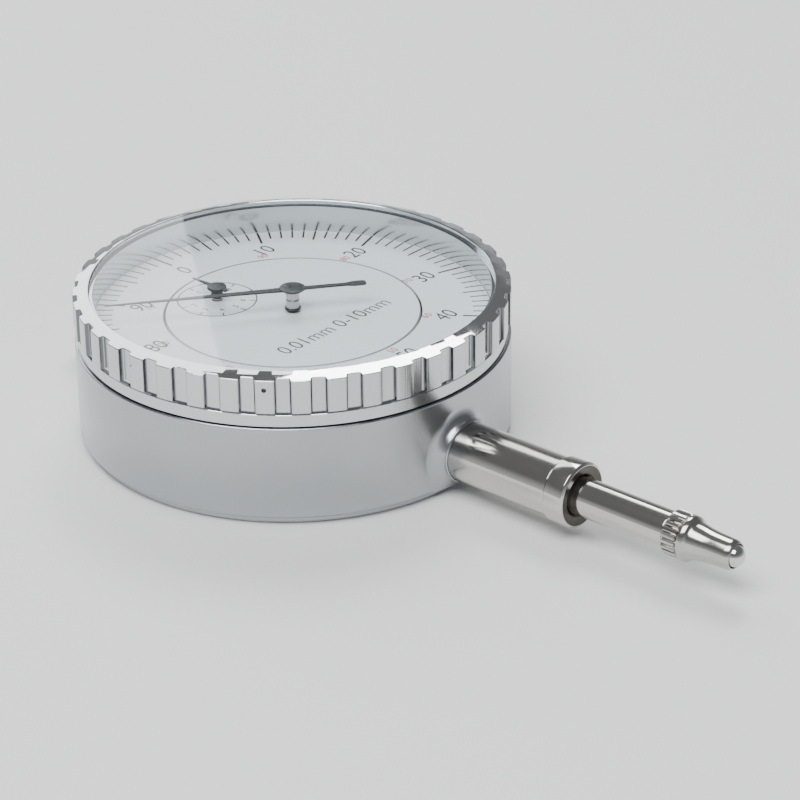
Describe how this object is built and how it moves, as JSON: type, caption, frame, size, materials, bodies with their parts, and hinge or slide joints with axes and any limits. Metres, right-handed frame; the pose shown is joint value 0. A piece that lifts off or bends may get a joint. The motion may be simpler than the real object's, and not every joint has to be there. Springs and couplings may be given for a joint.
{
  "type": "dial indicator",
  "caption": "Plunger dial indicator with a fluted turning bezel, two hands, a round case with a flat back and a clamping stem.",
  "frame": {"origin": "centre of the flat back face, on the dial's axis", "axes": "+Z out of the dial along its axis, -Y along the stem towards the contact, +X to the right of the dial as it is read with the stem down"},
  "size_m": [0.058, 0.1126, 0.021],
  "materials": {
    "case": "satin",
    "chrome": "polished",
    "steel": "ground",
    "spring_steel": "drawn",
    "brass": "turned",
    "dial": "matt",
    "hand": "satin",
    "crystal": "clear"
  },
  "bodies": {
    "case": {"case_body": "case", "back_cover": "case", "back_screw_1": "steel", "back_screw_2": "steel", "back_screw_3": "steel", "back_screw_4": "steel", "stem": "chrome", "lower_bush": "chrome", "upper_bush": "brass", "top_cap": "chrome", "main_plate": "brass", "bridge_plate": "brass", "pinion_cock": "brass", "plate_screw_1": "steel", "plate_screw_2": "steel", "plate_screw_3": "steel", "pillar_1": "brass", "pillar_2": "brass", "pillar_3": "brass", "pillar_4": "brass", "pillar_screw_1": "steel", "pillar_screw_2": "steel", "pillar_screw_3": "steel", "pillar_screw_4": "steel", "cock_screw_1": "steel", "cock_screw_2": "steel", "guide_rail": "steel", "rail_screw_1": "steel", "rail_screw_2": "steel", "spring_post": "steel", "return_spring": "spring_steel", "bezel_snap_wire": "spring_steel", "dial_centre": "dial", "hairspring": "spring_steel", "hairspring_stud": "brass"},
    "spindle": {"spindle": "steel", "guide_pin": "steel", "contact_point": "steel", "contact_ball": "chrome"},
    "bezel": {"bezel": "chrome", "crystal": "crystal", "dial_ring": "dial"},
    "counter_arbor": {"counter_arbor": "steel", "counter_wheel": "brass", "small_hand": "hand"},
    "centre_arbor": {"centre_arbor": "steel", "main_hand": "hand", "hand_hub": "hand"},
    "takeup_arbor": {"takeup_arbor": "steel", "takeup_wheel": "brass", "hairspring_collet": "brass"}
  },
  "joints": [
    {"name": "spindle_slide", "type": "slide", "parent": "case", "child": "spindle", "axis": [0, 1, 0], "range_m": [0, 0.01], "stiffness_N_per_m": 80, "springref_m": -0.0075, "deforming": ["return_spring"]},
    {"name": "counter_spin", "type": "hinge", "parent": "case", "child": "counter_arbor", "pos_m": [-0.00389, 0.01023, 0.01], "axis": [0, 0, 1], "range_deg": [-1, 361]},
    {"name": "centre_spin", "type": "hinge", "parent": "case", "child": "centre_arbor", "pos_m": [0, 0, 0.01], "axis": [0, 0, 1], "range_deg": [-3610, 10]},
    {"name": "takeup_spin", "type": "hinge", "parent": "case", "child": "takeup_arbor", "pos_m": [0.00547, -0.00948, 0.01], "axis": [0, 0, 1], "range_deg": [-1, 361]},
    {"name": "bezel_turn", "type": "hinge", "parent": "case", "child": "bezel", "pos_m": [0, 0, 0.0175], "axis": [0, 0, 1], "continuous": true}
  ],
  "couplings": [
    {"joint": "counter_spin", "follows": "spindle_slide", "rad_per_m": 628.32},
    {"joint": "centre_spin", "follows": "spindle_slide", "rad_per_m": -6283.2},
    {"joint": "takeup_spin", "follows": "spindle_slide", "rad_per_m": 628.32}
  ]
}
